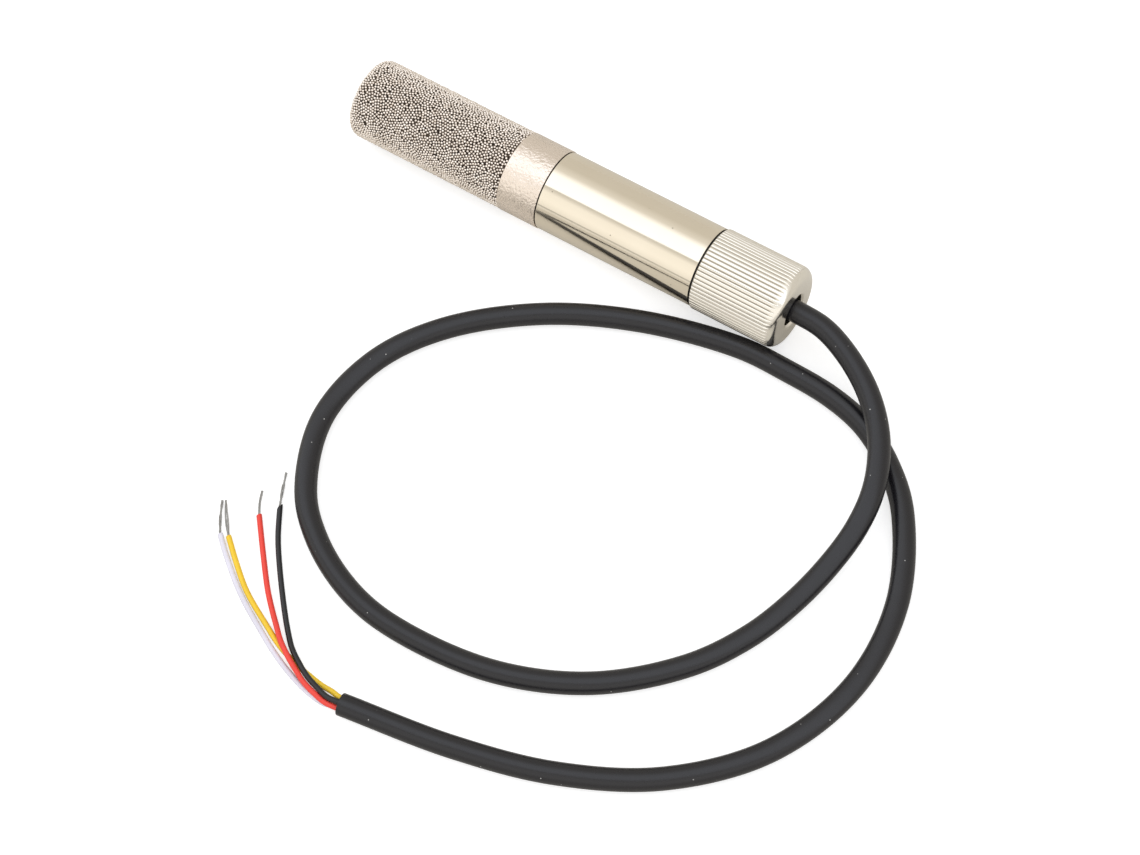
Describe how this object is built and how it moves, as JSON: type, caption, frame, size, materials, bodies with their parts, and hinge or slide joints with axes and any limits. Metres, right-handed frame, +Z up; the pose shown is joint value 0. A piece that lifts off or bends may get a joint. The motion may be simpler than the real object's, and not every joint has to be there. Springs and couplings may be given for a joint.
{
  "type": "soil moisture sensor probe",
  "caption": "Pencil-shaped moisture and humidity probe: sintered filter cup on a polished tube, knurled screw cap, and a thin looped cable ending in bare tinned wires.",
  "frame": {"origin": "on the floor under the middle of the probe, cable left out", "axes": "+X along the probe from the filter's tip to the cap's cable end, +Z up, the cable loop on the -Y side"},
  "size_m": [0.1344, 0.1091, 0.0155],
  "materials": {
    "sintered_nickel": "sintered beads, nickel plated",
    "satin_nickel": "satin nickel plate",
    "polished_nickel": "polished nickel plate",
    "knurled_nickel": "bright nickel plate, straight knurl",
    "black_rubber": "matte",
    "black_nylon": "moulded",
    "board": "solder mask",
    "chip_body": "moulded",
    "ceramic": "fired ceramic",
    "solder": "bright solder",
    "epoxy": "cast",
    "jacket_pvc": "satin extruded PVC",
    "tinned_copper": "twisted strands",
    "core_white": "satin extruded PVC",
    "core_yellow": "satin extruded PVC",
    "core_red": "satin extruded PVC",
    "core_black": "satin extruded PVC"
  },
  "bodies": {
    "housing": {"probe_tube": "polished_nickel", "rear_gasket": "black_rubber", "sensor_board": "board", "sensor_chip": "chip_body", "decoupling_capacitor": "ceramic", "pull_up_resistor_1": "chip_body", "pull_up_resistor_2": "chip_body", "potting_plug": "epoxy", "cable_grommet": "black_rubber", "solder_joint_red": "solder", "solder_joint_black": "solder", "solder_joint_yellow": "solder", "solder_joint_white": "solder", "inner_lead_red": "core_red", "inner_lead_black": "core_black", "inner_lead_yellow": "core_yellow", "inner_lead_white": "core_white", "cable_jacket": "jacket_pvc", "core_red": "core_red", "core_black": "core_black", "core_yellow": "core_yellow", "core_white": "core_white", "conductor_red": "tinned_copper", "conductor_black": "tinned_copper", "conductor_yellow": "tinned_copper", "conductor_white": "tinned_copper"},
    "filter_ring": {"filter_gasket": "black_rubber"},
    "filter": {"filter_cup": "sintered_nickel", "filter_collar": "satin_nickel"},
    "slip_ring": {"slip_washer": "black_nylon"},
    "cap": {"knurled_cap": "knurled_nickel"}
  },
  "joints": [
    {"name": "filter_slide", "type": "slide", "parent": "housing", "child": "filter_ring", "axis": [-1, 0, 0], "range_m": [0, 0.005]},
    {"name": "filter_turn", "type": "hinge", "parent": "filter_ring", "child": "filter", "pos_m": [-0.0043, 0, 0.00775], "axis": [-1, 0, 0], "range_deg": [0, 1800]},
    {"name": "cap_slide", "type": "slide", "parent": "housing", "child": "slip_ring", "axis": [1, 0, 0], "range_m": [0, 0.006]},
    {"name": "cap_turn", "type": "hinge", "parent": "slip_ring", "child": "cap", "pos_m": [0.0279, 0, 0.00775], "axis": [1, 0, 0], "range_deg": [0, 2160]}
  ],
  "couplings": [
    {"joint": "filter_turn", "follows": "filter_slide", "rad_per_m": 6283.2},
    {"joint": "cap_turn", "follows": "cap_slide", "rad_per_m": 6283.2}
  ]
}
